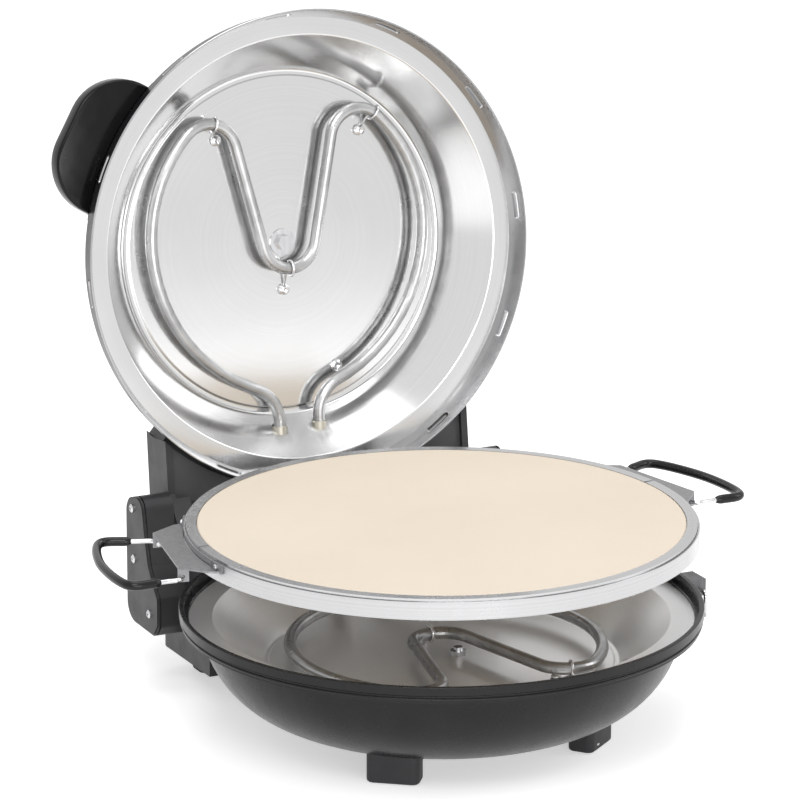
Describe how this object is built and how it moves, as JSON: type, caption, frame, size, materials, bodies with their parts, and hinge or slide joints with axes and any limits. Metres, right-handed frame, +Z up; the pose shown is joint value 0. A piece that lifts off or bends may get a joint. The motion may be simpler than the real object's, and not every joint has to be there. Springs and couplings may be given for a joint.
{
  "type": "electric pizza oven",
  "caption": "Countertop pizza oven with a rear-hinged domed lid, heating elements above and below, and a lift-out stone tray with wire handles.",
  "frame": {"origin": "middle of the part's box in plan, at the counter that the feet stand on; the bowl's axis stands at X = 0, Y = -0.0520 m", "axes": "+X to the right as seen from the open front, +Y to the back where the hinge is, +Z up"},
  "size_m": [0.4518, 0.438, 0.4303],
  "materials": {
    "black_steel": "satin",
    "bright_steel": "polished",
    "element_steel": "satin",
    "ferrule": "satin",
    "wire_steel": "polished",
    "fastener": "polished",
    "rubber": "matte",
    "dark_plastic": "satin",
    "gloss_black": "gloss",
    "contact": "satin",
    "lamp": "gloss",
    "stone": "matte",
    "ring_steel": "satin"
  },
  "bodies": {
    "base": {"base_shell": "black_steel", "base_reflector": "bright_steel", "lower_element": "element_steel", "lower_ferrules": "ferrule", "lower_clips": "wire_steel", "lower_clip_screws": "fastener", "sensor_stud": "fastener", "feet": "rubber", "foot_screws": "fastener", "rear_housing": "dark_plastic", "housing_screws": "fastener", "left_hinge_box": "dark_plastic", "right_hinge_box": "dark_plastic", "left_box_cover": "dark_plastic", "right_box_cover": "dark_plastic", "box_cover_screws": "fastener", "hinge_pins": "fastener", "side_lugs": "black_steel", "lug_hooks": "wire_steel", "power_inlet": "gloss_black", "inlet_pins": "contact", "indicator_lamp": "lamp"},
    "knob": {"thermostat_knob": "dark_plastic"},
    "lid": {"lid_dome": "black_steel", "vent_collar": "black_steel", "lid_reflector": "bright_steel", "upper_element": "element_steel", "upper_ferrules": "ferrule", "upper_clips": "wire_steel", "upper_clip_screws": "fastener", "lid_centre_bolt": "fastener", "lid_centre_washer": "fastener", "lid_handle": "gloss_black", "lid_handle_base": "gloss_black", "lid_handle_screws": "fastener", "hinge_block": "dark_plastic", "block_front_panel": "dark_plastic", "block_screws": "fastener"},
    "tray": {"pizza_stone": "stone", "tray_hoop": "ring_steel", "front_ring_half": "ring_steel", "rear_ring_half": "ring_steel", "left_bracket": "ring_steel", "right_bracket": "ring_steel", "bracket_screws": "fastener"},
    "left_handle": {"left_wire_handle": "wire_steel", "left_grip": "gloss_black"},
    "right_handle": {"right_wire_handle": "wire_steel", "right_grip": "gloss_black"}
  },
  "joints": [
    {"name": "lid_hinge", "type": "hinge", "parent": "base", "child": "lid", "pos_m": [0, 0.122, 0.1], "axis": [1, 0, 0], "range_deg": [0, 97]},
    {"name": "tray_lift", "type": "slide", "parent": "base", "child": "tray", "axis": [0, 0, 1], "range_m": [-0.0476, 0]},
    {"name": "left_handle_fold", "type": "hinge", "parent": "tray", "child": "left_handle", "pos_m": [-0.17241, -0.01661, 0.1284], "axis": [0.2011, 0.9796, 0], "range_deg": [0, 90]},
    {"name": "right_handle_fold", "type": "hinge", "parent": "tray", "child": "right_handle", "pos_m": [0.17241, -0.01661, 0.1284], "axis": [0.2011, -0.9796, 0], "range_deg": [0, 90]},
    {"name": "thermostat_turn", "type": "hinge", "parent": "base", "child": "knob", "pos_m": [0.062, 0.145, 0.052], "axis": [0, 1, 0], "range_deg": [0, 270]}
  ],
  "couplings": [
    {"joint": "tray_lift", "follows": "lid_hinge", "m_per_rad": -0.028057}
  ]
}
